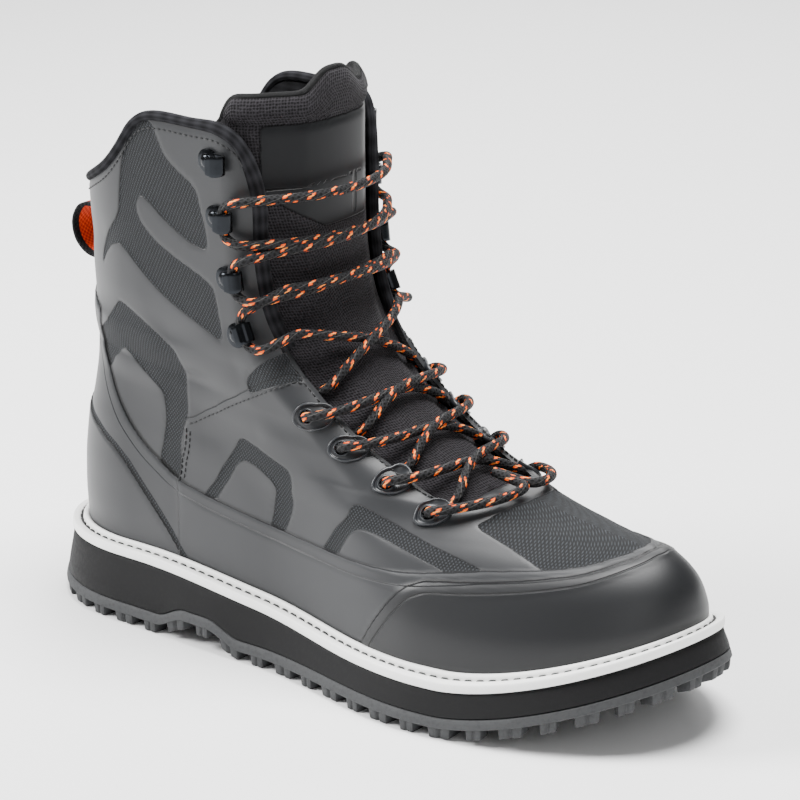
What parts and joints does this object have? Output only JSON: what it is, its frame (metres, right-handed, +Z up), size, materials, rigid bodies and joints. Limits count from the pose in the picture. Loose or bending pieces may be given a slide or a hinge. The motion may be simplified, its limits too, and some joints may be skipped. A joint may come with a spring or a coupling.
{
  "type": "wading boot",
  "caption": "Right-foot lace-up wading boot with a lugged sole, white welt, rubber toe cap, padded tongue, speed hooks and a heel pull loop.",
  "frame": {"origin": "on the floor under the middle of the heel, on the flat foot of the sole's lug there", "axes": "+X towards the toe, +Y towards the inner side of the foot (the wearer's left), +Z up"},
  "size_m": [0.3266, 0.1255, 0.243],
  "materials": {
    "outsole_rubber": "dull moulded rubber",
    "midsole_foam": "fine-grained moulded foam",
    "welt_rubber": "smooth satin rubber",
    "insole_foam": "brushed lining cloth",
    "upper_synthetic": "smooth coated synthetic with a soft sheen",
    "toe_cap_rubber": "smooth satin rubber",
    "rand_synthetic": "smooth coated synthetic",
    "tongue_knit": "padded knitted cloth",
    "binding_knit": "knitted binding",
    "loop_webbing": "woven webbing",
    "eyelet_moulding": "satin moulding",
    "hook_metal": "dark gunmetal gloss",
    "lace_cord": "round braid"
  },
  "bodies": {
    "root": {"outsole": "outsole_rubber", "midsole": "midsole_foam", "welt": "welt_rubber", "insole": "insole_foam", "upper": "upper_synthetic", "toe_cap": "toe_cap_rubber", "rand_outer": "rand_synthetic", "rand_inner": "rand_synthetic", "heel_counter": "rand_synthetic", "tongue": "tongue_knit", "collar_binding": "binding_knit", "pull_loop": "loop_webbing", "eyelet_outer_1": "eyelet_moulding", "eyelet_outer_2": "eyelet_moulding", "eyelet_outer_3": "eyelet_moulding", "eyelet_outer_4": "eyelet_moulding", "eyelet_inner_1": "eyelet_moulding", "eyelet_inner_2": "eyelet_moulding", "eyelet_inner_3": "eyelet_moulding", "eyelet_inner_4": "eyelet_moulding", "hook_outer_1": "hook_metal", "hook_outer_2": "hook_metal", "hook_outer_3": "hook_metal", "hook_outer_4": "hook_metal", "hook_inner_1": "hook_metal", "hook_inner_2": "hook_metal", "hook_inner_3": "hook_metal", "hook_inner_4": "hook_metal", "lace": "lace_cord"}
  },
  "joints": []
}
